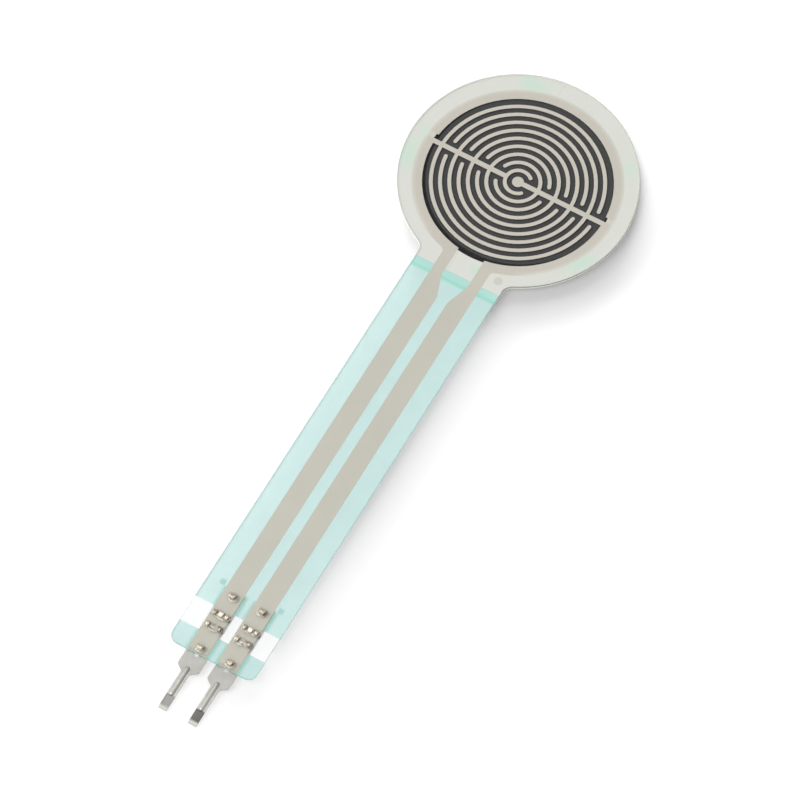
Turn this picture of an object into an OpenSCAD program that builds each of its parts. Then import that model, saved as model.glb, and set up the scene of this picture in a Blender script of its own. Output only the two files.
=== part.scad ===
// Thin-film force sensor: a round sensing head, a straight tail and two crimped solder tabs.
// The electrode side faces +Z, the tail runs along -Y, and sizes are in millimetres.
// The origin is the centre of the head on the underside of its release liner.

/* [Layers] */
// Thickness of the release liner
liner_t = 0.1; // [0.05:0.01:0.2]
// Thickness of the rear adhesive
adhesive_t = 0.05; // [0.03:0.01:0.15]
// Thickness of the semiconductor film
rear_film_t = 0.127; // [0.075:0.001:0.25]
// Distance that the spacer holds the two films apart
spacer_t = 0.15; // [0.1:0.01:0.3]
// Thickness of the electrode film
film_t = 0.127; // [0.075:0.001:0.25]
// Thickness of the silver print
silver_t = 0.02; // [0.015:0.001:0.03]
// Thickness of the dielectric print below the silver
dielectric_t = 0.02; // [0.015:0.001:0.03]
// Thickness of the carbon print
carbon_t = 0.02; // [0.015:0.001:0.03]
// Bond line between two layers that lie on each other
bond_t = 0.003; // [0.001:0.001:0.005]

/* [Electrode pattern] */
// Number of concentric fingers, counted on one half
finger_count = 9; // [3:2:11]
// Width of a silver finger
finger_w = 0.3; // [0.2:0.01:0.4]
// Bare gap between neighbouring fingers
finger_gap = 0.415; // [0.3:0.005:0.5]
// Radius of the silver dot in the middle
dot_r = 0.46; // [0.3:0.01:0.8]
// Width of the two straight buses
bus_w = 0.41; // [0.3:0.01:0.6]
// Gap from a finger's free end to the bus that it faces
tip_gap = 0.39; // [0.25:0.01:0.5]
// Bare band between the outermost finger and the outer ring
ring_gap = 0.53; // [0.3:0.01:0.8]
// Width of the outer silver ring
ring_w = 0.82; // [0.5:0.01:1.2]
// Height of the two side gaps in the outer ring
side_gap = 0.42; // [0.3:0.01:0.7]
// How far the silver print sits to the right of the cut outline
print_dx = 0.05; // [-0.15:0.01:0.15]
// How far the silver print sits forward of the cut outline
print_dy = -0.18; // [-0.2:0.01:0.15]

/* [Traces] */
// Distance between the two traces and between the two pins
lead_pitch = 2.54; // [2.4:0.02:3.2]
// Width of a trace along the tail
trace_w = 1.62; // [1.4:0.02:1.8]
// Width of a trace in the neck
neck_trace_w = 0.95; // [0.7:0.01:1.2]
// Distance from the edge of the head to the place where the traces start to widen
widening_at = 0.75; // [0.3:0.05:2]
// Length over which a trace widens below the neck
widening_l = 1.95; // [1:0.05:4]
// Radius where a trace runs into the outer ring
trace_fillet_r = 0.35; // [0.2:0.05:1]
// Bare film between a trace's end and the end of the tail
trace_end_gap = 0.3; // [0.15:0.05:0.4]

/* [Head and tail] */
// Clear rim outside the silver ring
rim_w = 1.16; // [0.8:0.01:2.5]
// Bare film between a trace and the edge of the tail
tail_margin = 1.57; // [0.8:0.01:3]
// Length of the tail from the edge of the head
tail_l = 37.5; // [22:0.05:60]
// Radius of the fillets between head and tail
neck_fillet_r = 0.95; // [0.5:0.05:2]
// Radius of the corners at the end of the tail
tail_corner_r = 0.75; // [0.3:0.05:1]
// Length of neck that the rear layers cover, from the edge of the head
neck_l = 0.88; // [0.5:0.01:2]

/* [Carbon, spacer and liner] */
// How far the carbon disc reaches past the inner edge of the silver ring
carbon_margin = 0.18; // [0.1:0.01:0.3]
// How far the spacer reaches inside the inner edge of the silver ring
spacer_lap = 0.07; // [0:0.01:0.15]
// How far the spacer sits forward of the silver print
spacer_dy = 0.1; // [-0.1:0.01:0.15]
// Place of the slit that splits the liner, left of the middle
slit_x = 0.95; // [0.5:0.05:3]
// Width of the slit in the liner
slit_w = 0.04; // [0.02:0.01:0.1]
// How far the right half of the liner sits forward of the left half
liner_step = 0.08; // [0:0.01:0.15]

/* [Dielectric] */
// How far the dielectric coat reaches in between the layers of the neck
coat_lap = 0.63; // [0.3:0.01:1]
// Length of the clear window that bares the traces
window_l = 2.17; // [1.8:0.01:2.6]
// Length of the dielectric strip at the end of the tail
end_strip_l = 1.85; // [1.5:0.01:2]
// Side of the two square location marks
mark_w = 0.42; // [0.2:0.02:0.6]
// Thickness of the location marks
mark_t = 0.02; // [0.015:0.001:0.03]
// Distance of the location marks' middle from the clear window
mark_back = 2.05; // [1:0.05:4]
// Gap between a location mark and the trace beside it
mark_gap = 0.2; // [0.1:0.02:0.3]
// Diameter of the registration dot
dot_mark_d = 0.7; // [0.4:0.02:0.8]
// Gap between the registration dot and the right trace
dot_mark_gap = 0.5; // [0.3:0.02:0.8]
// Gap between the registration dot and the start of the coat
dot_mark_back = 0.93; // [0.5:0.01:1]

/* [Terminals] */
// Thickness of the tin-plated strip
strip_t = 0.2; // [0.15:0.01:0.25]
// Width of the crimp plate
plate_w = 1.8; // [1.6:0.02:2]
// Strip left on the crimp plate past the first tine
plate_margin = 0.38; // [0.25:0.01:1]
// Length of the crimp plate past the end of the tail
plate_out = 1.25; // [0.6:0.05:2]
// Length of the tapered shoulders
shoulder_l = 0.42; // [0.2:0.02:1]
// Width of the pin
pin_w = 0.7; // [0.6:0.02:1]
// Length of the pin past the shoulders
pin_l = 3.33; // [2.5:0.05:8]
// Length of the flat tip past the rib
tip_l = 1.15; // [0.5:0.05:2]
// Thickness to which the flat tip is pressed, where its bevel starts
tip_t = 0.15; // [0.13:0.01:0.15]
// Length of the bevel at the tip
bevel_l = 0.24; // [0.1:0.02:0.4]
// Thickness that the bevel leaves at the very end
tip_edge_t = 0.07; // [0.04:0.01:0.12]
// Outer radius of the raised rib
rib_r = 0.2; // [0.15:0.01:0.26]
// Height of the rib above the pin
rib_rise = 0.14; // [0.08:0.01:0.18]
// Radius of the groove below the rib
groove_r = 0.1; // [0.05:0.01:0.11]
// How far the crimps sit to the right of the traces
crimp_dx = 0.1; // [-0.15:0.01:0.15]

/* [Tines] */
// Thickness of a tine
tine_t = 0.13; // [0.1:0.01:0.16]
// Width of the single tines at both ends of the row
single_w = 0.6; // [0.4:0.02:0.8]
// Width of the tines beside the axis
side_w = 0.34; // [0.24:0.02:0.4]
// Width of the tine between two side tines
middle_w = 0.44; // [0.3:0.02:0.5]
// Distance of the side tines from the terminal's axis
side_x = 0.5; // [0.46:0.01:0.58]
// Share of its width that a tine keeps at its tip
tip_share = 0.45; // [0.3:0.05:0.9]
// Radius to which a tine curls over, at the middle of its thickness
curl_r = 0.17; // [0.14:0.01:0.22]
// Angle that the curl runs on past half a turn
curl_more = 18; // [0:1:22]
// Height of the curl's centre above the film
curl_lift = 0.1; // [0.1:0.01:0.2]
// Distance of the last tine from the end of the tail
last_tine = 0.66; // [0.6:0.02:0.8]
// Distance from the last tine to the first
tine_span = 4.76; // [4.4:0.02:5.4]
// Distance from the last tine to the middle of the two rows of side tines
pair_mid = 2.5; // [2.3:0.02:2.6]
// Distance between the two rows of side tines
pair_pitch = 1.08; // [1.04:0.02:1.2]
// Length of the slot that a tine leaves in the plate
slot_l = 0.8; // [0.6:0.05:0.85]
// Clearance round a tine where it pierces the film
pierce_gap = 0.02; // [0.01:0.005:0.03]

/* [Hidden] */
$fn = 96;

// Heights of the layers, counted up from the underside of the liner
adhesive_z = liner_t + bond_t;
rear_film_z = adhesive_z + adhesive_t + bond_t;
spacer_z = rear_film_z + rear_film_t + bond_t;
film_z = spacer_z + spacer_t + bond_t;
film_top = film_z + film_t;
print_top = film_z - bond_t;
silver_z = print_top - silver_t;
coat_z = silver_z - bond_t - dielectric_t;
strip_top = coat_z - bond_t;
strip_z = strip_top - strip_t;

// Radii of the pattern
finger_pitch = finger_w + finger_gap;
first_finger_r = dot_r + finger_gap + finger_w / 2;
last_finger_r = first_finger_r + (finger_count - 1) * finger_pitch;
ring_in = last_finger_r + finger_w / 2 + ring_gap;
ring_out = ring_in + ring_w;
ring_mid = (ring_in + ring_out) / 2;
tip_y = bus_w / 2 + tip_gap;
widest_opening = 64;

// Hair's breadth by which a rounding crosses the edges that it rounds
seam = 0.003;
opening_r = ring_in - spacer_lap;
carbon_r = ring_in + carbon_margin;

// Places along and across the tail
head_r = ring_out + rim_w;
trace_out = (lead_pitch + trace_w) / 2;
trace_in = (lead_pitch - trace_w) / 2;
neck_trace_in = trace_out - neck_trace_w;
tail_w = 2 * (trace_out + tail_margin);
tail_end = head_r + tail_l;
stack_end = head_r + neck_l;
coat_start = stack_end - coat_lap;
window_end = tail_end - end_strip_l;
window_start = window_end - window_l;
reach = 2 * head_r;

// Places along a terminal
plate_top_y = last_tine + tine_span + plate_margin - tail_end;
shoulder_y = -tail_end - plate_out;
pin_y = shoulder_y - shoulder_l;
tip_end_y = pin_y - pin_l;
rib_top_y = shoulder_y + rib_r / 2;
rib_end_y = tip_end_y + tip_l;

// Seats of one terminal's tines: place across, distance from the end of the tail, width
pair_y = last_tine + pair_mid + pair_pitch / 2;
tine_seats = [
    [0, last_tine + tine_span, single_w],
    [-side_x, pair_y, side_w],
    [0, pair_y, middle_w],
    [side_x, pair_y, side_w],
    [-side_x, pair_y - pair_pitch, side_w],
    [side_x, pair_y - pair_pitch, side_w],
    [0, last_tine, single_w]
];
leg_h = film_top - strip_top + curl_lift;

// Colours, as they show from above
clear_film = [0.86, 0.93, 0.91, 0.45];
silver_ink = [0.79, 0.78, 0.73];
green_print = [0.6, 0.86, 0.82];
double_green = [0.5, 0.78, 0.74];
carbon_ink = [0.2, 0.2, 0.2];
clear_glue = [0.9, 0.92, 0.88, 0.4];
rear_glue = [0.93, 0.92, 0.85];
liner_white = [0.84, 0.85, 0.81];
tin_plate = [0.72, 0.71, 0.67];

function flipped(points) = [
    for (i = [len(points) - 1:-1:0]) [-points[i][0], points[i][1]]
];
function lead_x(left) = (left ? -1 : 1) * lead_pitch / 2 + print_dx + crimp_dx;

// Stretch of the plane between two distances down the tail
module down_to(from, to) {
    translate([-reach, -to]) square([2 * reach, to - from]);
}

// Everything farther out than one place across the tail, on the left or on the right
module beyond(edge, left) {
    translate([left ? -edge - 2 * reach : edge, -reach]) square(2 * reach);
}

module ring(r_in, r_out) {
    difference() {
        circle(r_out);
        circle(r_in);
    }
}

// Fills the two corners between a disc and a straight strip that leaves it downwards
module corner_web(disc_r, half_w, fillet_r) {
    fillet_x = half_w + fillet_r - seam;
    fillet_y = -sqrt(pow(disc_r + fillet_r - seam, 2) - pow(fillet_x, 2));
    difference() {
        polygon([[0, 0], [-fillet_x, fillet_y], [fillet_x, fillet_y]]);
        for (side = [-1, 1]) translate([side * fillet_x, fillet_y]) circle(fillet_r);
    }
}

module tail_outline() {
    translate([-tail_w / 2, tail_corner_r - tail_end])
        square([tail_w, tail_end - tail_corner_r]);
    translate([tail_corner_r - tail_w / 2, -tail_end])
        square([tail_w - 2 * tail_corner_r, tail_corner_r]);
    for (side = [-1, 1])
        translate([side * (tail_w / 2 - tail_corner_r), tail_corner_r - tail_end])
            circle(tail_corner_r - seam);
}

// Outline of the whole sensor, as it is cut
module sensor_outline() {
    circle(head_r);
    corner_web(head_r, tail_w / 2, neck_fillet_r);
    tail_outline();
}

// Outline of the rear layers: head and short neck
module rear_outline() {
    intersection() {
        sensor_outline();
        down_to(-reach, stack_end);
    }
}

module layer(z, t) {
    translate([0, 0, z]) linear_extrude(t) children();
}

// Room for a print on the underside of the electrode film, with a bond line below it
module pocket(z) {
    layer(z - bond_t, film_z - z + bond_t) children();
}

// Holes where the tines of both terminals pierce the tail
module pierce_holes() {
    for (left = [true, false], seat = tine_seats)
        translate([lead_x(left) + seat[0], seat[1] - tail_end])
            square([seat[2] + 2 * pierce_gap, tine_t + 2 * pierce_gap], center = true);
}

// One finger: a ring that is open on the right, with two round ends
module finger(r) {
    end_a = asin(min(sin(widest_opening), (tip_y + finger_w / 2) / r));
    difference() {
        ring(r - finger_w / 2, r + finger_w / 2);
        polygon([[0, 0], [reach, -reach * tan(end_a)], [reach, reach * tan(end_a)]]);
    }
    for (half = [-1, 1]) rotate(half * end_a) translate([r, 0]) circle(finger_w / 2 - seam);
}

// Fingers of one electrode: the left one has the first finger, the right one the next
module fingers(left) {
    first = left ? 0 : 1;
    rotate(left ? 0 : 180) for (k = [first:2:finger_count - 1])
        finger(first_finger_r + k * finger_pitch);
}

module bus(left) {
    inner_end = left ? first_finger_r : 0;
    rotate(left ? 180 : 0)
        translate([inner_end, -bus_w / 2]) square([ring_mid - inner_end, bus_w]);
}

// Outer ring up to the bus, without the stretch between the traces
module ring_part(left) {
    intersection() {
        ring(ring_in, ring_out);
        beyond(neck_trace_in, left);
        down_to(-bus_w / 2, reach);
    }
}

module trace(left) {
    widen_from = head_r + widening_at + print_dy;
    widen_to = widen_from + widening_l;
    trace_end = tail_end - trace_end_gap + print_dy;
    right_trace = [
        [neck_trace_in, -ring_mid], [neck_trace_in, -widen_from],
        [trace_in, -widen_to], [trace_in, -trace_end],
        [trace_out, -trace_end], [trace_out, -ring_mid]
    ];
    polygon(left ? flipped(right_trace) : right_trace);
    // Fillet on the outer side, where the trace runs into the ring
    intersection() {
        corner_web(ring_out, trace_out, trace_fillet_r);
        beyond(neck_trace_in, left);
        down_to(ring_mid, reach);
    }
}

// What one electrode prints over the spacer and the tail
module outer_print(left) {
    ring_part(left);
    trace(left);
    bus(left);
}

module upper_ring() {
    intersection() {
        ring(ring_in, ring_out);
        translate([-reach, bus_w / 2 + side_gap]) square([2 * reach, reach]);
    }
}

module dot_mark() {
    dot_x = trace_out + dot_mark_gap + dot_mark_d / 2;
    translate([dot_x, -coat_start + dot_mark_back + dot_mark_d / 2]) circle(dot_mark_d / 2);
}

module in_print() {
    translate([print_dx, print_dy]) children();
}

module electrode(left) {
    color(silver_ink) layer(silver_z, silver_t) difference() {
        in_print() {
            outer_print(left);
            fingers(left);
            if (!left) circle(dot_r);
        }
        pierce_holes();
    }
}

module left_electrode() electrode(true);

module right_electrode() electrode(false);

module upper_ring_print() {
    color(silver_ink) layer(silver_z, silver_t) in_print() upper_ring();
}

module registration_dot() {
    color(silver_ink) layer(silver_z, silver_t) in_print() dot_mark();
}

module electrode_film() {
    color(clear_film) layer(film_z, film_t) difference() {
        sensor_outline();
        pierce_holes();
    }
}

// Dielectric print over one stretch of the tail: it fills in round the silver and lies under it
module dielectric(from, to) {
    color(green_print) difference() {
        layer(coat_z, print_top - coat_z) difference() {
            intersection() {
                sensor_outline();
                down_to(from, to);
            }
            pierce_holes();
        }
        for (left = [true, false]) pocket(silver_z) in_print() trace(left);
    }
}

module dielectric_coat() dielectric(coat_start, window_start);

module end_dielectric_strip() dielectric(window_end, tail_end);

module location_marks() {
    mark_x = trace_out + mark_gap + mark_w / 2;
    color(double_green) layer(strip_top - mark_t, mark_t)
        for (side = [-1, 1]) translate([side * mark_x + print_dx, mark_back - window_start])
            square(mark_w, center = true);
}

// Adhesive that fills the space between the films, round the prints, outside the opening
module spacer_adhesive() {
    color(clear_glue) difference() {
        layer(spacer_z, spacer_t) difference() {
            rear_outline();
            translate([print_dx, print_dy + spacer_dy]) circle(opening_r);
        }
        pocket(silver_z) in_print() {
            outer_print(true);
            outer_print(false);
            upper_ring();
            dot_mark();
        }
        pocket(coat_z) down_to(coat_start - bond_t, tail_end);
        layer(spacer_z, carbon_t + bond_t) in_print() circle(carbon_r + bond_t);
    }
}

module carbon_disc() {
    color(carbon_ink) layer(spacer_z, carbon_t) in_print() circle(carbon_r);
}

module semiconductor_film() {
    color(clear_film) layer(rear_film_z, rear_film_t) rear_outline();
}

module rear_adhesive() {
    color(rear_glue) layer(adhesive_z, adhesive_t) rear_outline();
}

module release_liner(left) {
    edge = slit_w / 2 + (left ? slit_x : -slit_x);
    color(liner_white) layer(0, liner_t) intersection() {
        translate([0, left ? 0 : liner_step]) rear_outline();
        beyond(edge, left);
    }
}

module release_liner_left() release_liner(true);

module release_liner_right() release_liner(false);

// Side view of the strip: flat, pressed thinner at the tip, with a bevel at the end
module strip_side() {
    rotate([90, 0, 90]) linear_extrude(2 * plate_w, center = true) polygon([
        [plate_top_y, strip_z],
        [plate_top_y, strip_top],
        [rib_end_y, strip_top],
        [tip_end_y + bevel_l, strip_z + tip_t],
        [tip_end_y, strip_z + tip_edge_t],
        [tip_end_y, strip_z]
    ]);
}

// Plan of the strip: crimp plate, shoulders and pin, less the slots of the tines
module strip_plan() {
    half_plate = plate_w / 2;
    half_pin = pin_w / 2;
    difference() {
        polygon([
            [-half_plate, plate_top_y], [-half_plate, shoulder_y], [-half_pin, pin_y],
            [-half_pin, tip_end_y], [half_pin, tip_end_y],
            [half_pin, pin_y], [half_plate, shoulder_y], [half_plate, plate_top_y]
        ]);
        for (seat = tine_seats)
            translate([seat[0], seat[1] - tail_end - tine_t / 2]) tine_plan(seat[2], slot_l);
    }
}

// Tapered outline of a tine, from its root down
module tine_plan(w, length) {
    polygon([
        [-w / 2, 0], [-w / 2 * tip_share, -length],
        [w / 2 * tip_share, -length], [w / 2, 0]
    ]);
}

// Long round-ended bar along the pin
module pin_bar(r, z) {
    translate([0, rib_top_y - rib_r, z]) {
        rotate([90, 0, 0]) cylinder(r = r, h = rib_top_y - rib_end_y - 2 * rib_r);
        sphere(r);
        translate([0, rib_end_y - rib_top_y + 2 * rib_r, 0]) sphere(r);
    }
}

// Tine: a leg that rises from the plate and curls over to the end of the tail
module tine(w) {
    curl_depth = 2 * curl_r + tine_t;
    translate([-w / 2, -tine_t / 2, -strip_t]) cube([w, tine_t, strip_t + leg_h]);
    intersection() {
        translate([0, -curl_r, leg_h]) rotate([90, 0, 90])
            rotate_extrude(angle = 180 + curl_more)
                translate([curl_r - tine_t / 2, -w / 2]) square([tine_t, w]);
        translate([0, tine_t / 2, 0]) linear_extrude(2 * leg_h) tine_plan(w, curl_depth);
    }
}

module terminal(left) {
    color(tin_plate) translate([lead_x(left), 0, 0]) {
        difference() {
            union() {
                intersection() {
                    strip_side();
                    layer(strip_z, strip_t) strip_plan();
                }
                intersection() {
                    pin_bar(rib_r, strip_top + rib_rise - rib_r);
                    layer(strip_z + strip_t / 2, 2 * strip_t)
                        translate([-plate_w / 2, tip_end_y]) square([plate_w, tail_end]);
                }
            }
            pin_bar(groove_r, strip_z);
        }
        for (seat = tine_seats)
            translate([seat[0], seat[1] - tail_end, strip_top]) tine(seat[2]);
    }
}

module left_terminal() terminal(true);

module right_terminal() terminal(false);

electrode_film();
left_electrode();
right_electrode();
upper_ring_print();
registration_dot();
dielectric_coat();
end_dielectric_strip();
location_marks();
spacer_adhesive();
carbon_disc();
semiconductor_film();
rear_adhesive();
release_liner_left();
release_liner_right();
left_terminal();
right_terminal();
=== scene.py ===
from math import cos, pi, sin

import bpy
from mathutils import Matrix, Vector, noise


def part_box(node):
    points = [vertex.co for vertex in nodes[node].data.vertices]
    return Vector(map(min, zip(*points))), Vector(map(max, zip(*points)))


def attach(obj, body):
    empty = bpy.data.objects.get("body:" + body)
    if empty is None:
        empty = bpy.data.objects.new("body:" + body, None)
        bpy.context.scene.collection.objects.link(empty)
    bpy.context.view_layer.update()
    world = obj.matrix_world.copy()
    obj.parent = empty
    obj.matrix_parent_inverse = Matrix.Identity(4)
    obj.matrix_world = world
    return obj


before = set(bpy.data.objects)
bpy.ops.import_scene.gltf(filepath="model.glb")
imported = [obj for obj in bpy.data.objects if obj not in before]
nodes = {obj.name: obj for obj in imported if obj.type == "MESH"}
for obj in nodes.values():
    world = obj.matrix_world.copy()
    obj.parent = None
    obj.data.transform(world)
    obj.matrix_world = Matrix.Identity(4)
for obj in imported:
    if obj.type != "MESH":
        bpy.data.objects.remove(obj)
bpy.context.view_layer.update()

mm = 0.001
filmLow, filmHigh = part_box("electrode_film")
filmTop, tailEnd = filmHigh[2], filmLow[1]
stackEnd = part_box("spacer_adhesive")[0][1]
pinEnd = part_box("left_terminal")[0][1]
print("frame loaded:", len(nodes), "pieces")


def middleOf(name, axis):
    low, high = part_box(name)
    return (low[axis] + high[axis]) / 2


def halfOf(name, axis):
    low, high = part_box(name)
    return (high[axis] - low[axis]) / 2


def addObject(name, data):
    thing = bpy.data.objects.new(name, data)
    bpy.context.scene.collection.objects.link(thing)
    return thing


# Node helpers
def plug(tree, node, inputs):
    # a node or a socket is linked, and anything else is set on the input itself
    for name, value in inputs.items():
        if isinstance(value, bpy.types.Node):
            value = value.outputs[0]
        if isinstance(value, bpy.types.NodeSocket):
            tree.links.new(value, node.inputs[name])
        else:
            node.inputs[name].default_value = value


def place(tree, kind, inputs=None, **settings):
    node = tree.nodes.new(kind)
    for name, value in settings.items():
        setattr(node, name, value)
    plug(tree, node, inputs or {})
    return node


def calculate(tree, operation, *values):
    return place(tree, "ShaderNodeMath", dict(enumerate(values)), operation=operation)


def scaled(tree, vector, factor):
    return place(tree, "ShaderNodeVectorMath", {0: vector, "Scale": factor}, operation="SCALE")


def remap(tree, value, low, high, fromLow=0.0, fromHigh=1.0):
    return place(tree, "ShaderNodeMapRange", {
        "Value": value, "From Min": fromLow, "From Max": fromHigh, "To Min": low, "To Max": high,
    })


def blend(tree, share, first, second):
    # 6 and 7 are the Mix node's colours, and its output 2 gives the mixed one
    mixed = place(tree, "ShaderNodeMix", {0: share, 6: first, 7: second}, data_type="RGBA")
    return mixed.outputs[2]


def blendValues(tree, share, first, second):
    mixed = place(tree, "ShaderNodeMix", {0: share, 2: first, 3: second}, data_type="FLOAT")
    return mixed.outputs[0]


def newGroup(name, takes, gives):
    tree = bpy.data.node_groups.new(name, "ShaderNodeTree")
    for label, kind, value in takes:
        socket = tree.interface.new_socket(name=label, in_out="INPUT", socket_type=kind)
        if value is not None:
            socket.default_value = value
    for label, kind in gives:
        tree.interface.new_socket(name=label, in_out="OUTPUT", socket_type=kind)
    inside, outside = tree.nodes.new("NodeGroupInput"), tree.nodes.new("NodeGroupOutput")
    return tree, inside.outputs, outside


def useGroup(tree, group, inputs):
    return place(tree, "ShaderNodeGroup", inputs, node_tree=group)


def newMaterial(name):
    material = bpy.data.materials.new(name)
    material.use_nodes = True
    tree = material.node_tree
    tree.nodes.clear()
    shader = tree.nodes.new("ShaderNodeBsdfPrincipled")
    output = tree.nodes.new("ShaderNodeOutputMaterial")
    tree.links.new(shader.outputs["BSDF"], output.inputs["Surface"])
    where = tree.nodes.new("ShaderNodeTexCoord").outputs
    return material, tree, shader, where


def axesOf(tree, where):
    return place(tree, "ShaderNodeSeparateXYZ", {0: where["Object"]}).outputs


def fromInside(tree):
    return tree.nodes.new("ShaderNodeNewGeometry").outputs["Backfacing"]


def lettingLightPass(tree, seen, shading):
    # a printed film looks denser than the shadow that it throws
    path = tree.nodes.new("ShaderNodeLightPath")
    return blendValues(tree, path.outputs["Is Shadow Ray"], seen, shading)


def roughen(tree, shader, height, look):
    plug(tree, shader, {"Normal": place(tree, "ShaderNodeBump", {
        "Strength": look["bump"], "Distance": look["bumpDepth"], "Height": height,
    })})


def paint(material, *names):
    for name in names:
        for materialSlot in nodes[name].material_slots:
            materialSlot.material = material


def rgb(red, green, blue):
    # picture values from 0 to 255 as scene-linear colour
    def one(value):
        value /= 255
        return value / 12.92 if value <= 0.04045 else ((value + 0.055) / 1.055) ** 2.4
    return (one(red), one(green), one(blue), 1.0)


# Fine grain of ink or film over broad soft clouds
noiseLook = {"grainDetail": 3.0, "cloudDetail": 4.0, "roughness": 0.55, "level": 0.5}
grainGroup, takes, gives = newGroup(
    "grainAndCloud",
    [
        ("Place", "NodeSocketVector", None),
        ("Colour", "NodeSocketColor", (0.5, 0.5, 0.5, 1)),
        ("Grain Size", "NodeSocketFloat", 0.08 * mm),
        ("Cloud Size", "NodeSocketFloat", 4 * mm),
        ("Grain Amount", "NodeSocketFloat", 0.05),
        ("Cloud Amount", "NodeSocketFloat", 0.04),
    ],
    [("Colour", "NodeSocketColor"), ("Height", "NodeSocketFloat"), ("Cloud", "NodeSocketFloat")],
)


def sizedNoise(tree, spot, size, detail):
    return place(tree, "ShaderNodeTexNoise", {
        "Vector": scaled(tree, spot, calculate(tree, "DIVIDE", 1.0, size)), "Scale": 1.0,
        "Detail": detail, "Roughness": noiseLook["roughness"],
    })


def swing(tree, value, amount):
    # how far a noise leaves its own level, times its amount
    offLevel = calculate(tree, "SUBTRACT", value, noiseLook["level"])
    return calculate(tree, "MULTIPLY", offLevel, amount)


grain = sizedNoise(grainGroup, takes["Place"], takes["Grain Size"], noiseLook["grainDetail"])
cloud = sizedNoise(grainGroup, takes["Place"], takes["Cloud Size"], noiseLook["cloudDetail"])
grainPart = swing(grainGroup, grain, takes["Grain Amount"])
cloudPart = swing(grainGroup, cloud, takes["Cloud Amount"])
bothSwings = calculate(grainGroup, "ADD", grainPart, cloudPart)
shade = calculate(grainGroup, "MULTIPLY_ADD", bothSwings, 1 / noiseLook["level"], 1.0)
plug(grainGroup, gives, {
    "Colour": scaled(grainGroup, takes["Colour"], shade), "Height": grain, "Cloud": cloud,
})


def grained(tree, spot, colour, look):
    # a colour with a piece's own grain and clouds on it
    return useGroup(tree, grainGroup, {
        "Place": spot, "Colour": colour, "Grain Size": look["grainSize"],
        "Cloud Size": look["cloudSize"], "Grain Amount": look["grain"],
        "Cloud Amount": look["cloud"],
    })


# Alpha of a clear sheet: one value for its top face, one for its cut walls, none for the underside
sheetTilt = {"wall": 0.35, "face": 0.7}  # the normal's Z on a cut wall and on a flat face
sheetGroup, takes, gives = newGroup(
    "clearSheet",
    [
        ("Normal", "NodeSocketVector", None),
        ("From Inside", "NodeSocketFloat", 0.0),
        ("Top Alpha", "NodeSocketFloat", 0.1),
        ("Side Alpha", "NodeSocketFloat", 0.5),
    ],
    [("Alpha", "NodeSocketFloat"), ("Side", "NodeSocketFloat")],
)
facesZ = place(sheetGroup, "ShaderNodeSeparateXYZ", {0: takes["Normal"]}).outputs["Z"]
flatness = calculate(sheetGroup, "ABSOLUTE", facesZ)
isSide = remap(sheetGroup, flatness, 1.0, 0.0, sheetTilt["wall"], sheetTilt["face"])
outward = remap(sheetGroup, takes["From Inside"], 1.0, -1.0)
faceUp = calculate(sheetGroup, "MULTIPLY", facesZ, outward)
isTop = remap(sheetGroup, faceUp, 0.0, 1.0, sheetTilt["wall"], sheetTilt["face"])
topPart = calculate(sheetGroup, "MULTIPLY", isTop, takes["Top Alpha"])
bothParts = calculate(sheetGroup, "MULTIPLY_ADD", isSide, takes["Side Alpha"], topPart)
plug(sheetGroup, gives, {"Alpha": bothParts, "Side": isSide})

# Soft round patch about a point on a sheet: 1 inside, 0 outside
spotGroup, takes, gives = newGroup(
    "softSpot",
    [
        ("Place", "NodeSocketVector", None),
        ("Centre", "NodeSocketVector", (0, 0, 0)),
        ("Inner", "NodeSocketFloat", 1 * mm),
        ("Outer", "NodeSocketFloat", 2 * mm),
    ],
    [("Spot", "NodeSocketFloat")],
)
flatPlace = place(spotGroup, "ShaderNodeVectorMath", {
    0: takes["Place"], 1: (1, 1, 0),
}, operation="MULTIPLY")
away = place(spotGroup, "ShaderNodeVectorMath", {
    0: flatPlace, 1: takes["Centre"],
}, operation="DISTANCE")
spot = remap(spotGroup, away.outputs["Value"], 1.0, 0.0, takes["Inner"], takes["Outer"])
spot.interpolation_type = "SMOOTHSTEP"
plug(spotGroup, gives, {"Spot": spot})

# Soft straight band across a sheet: 1 up to half its width from the middle, then a soft edge
bandGroup, takes, gives = newGroup(
    "softBand",
    [
        ("Value", "NodeSocketFloat", 0.0),
        ("Middle", "NodeSocketFloat", 0.0),
        ("Half", "NodeSocketFloat", 1 * mm),
        ("Soft", "NodeSocketFloat", 0.1 * mm),
    ],
    [("Band", "NodeSocketFloat")],
)
offMiddle = calculate(bandGroup, "SUBTRACT", takes["Value"], takes["Middle"])
offMiddle = calculate(bandGroup, "ABSOLUTE", offMiddle)
fullWidth = calculate(bandGroup, "ADD", takes["Half"], takes["Soft"])
plug(bandGroup, gives, {
    "Band": remap(bandGroup, offMiddle, 1.0, 0.0, takes["Half"], fullWidth),
})

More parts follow.
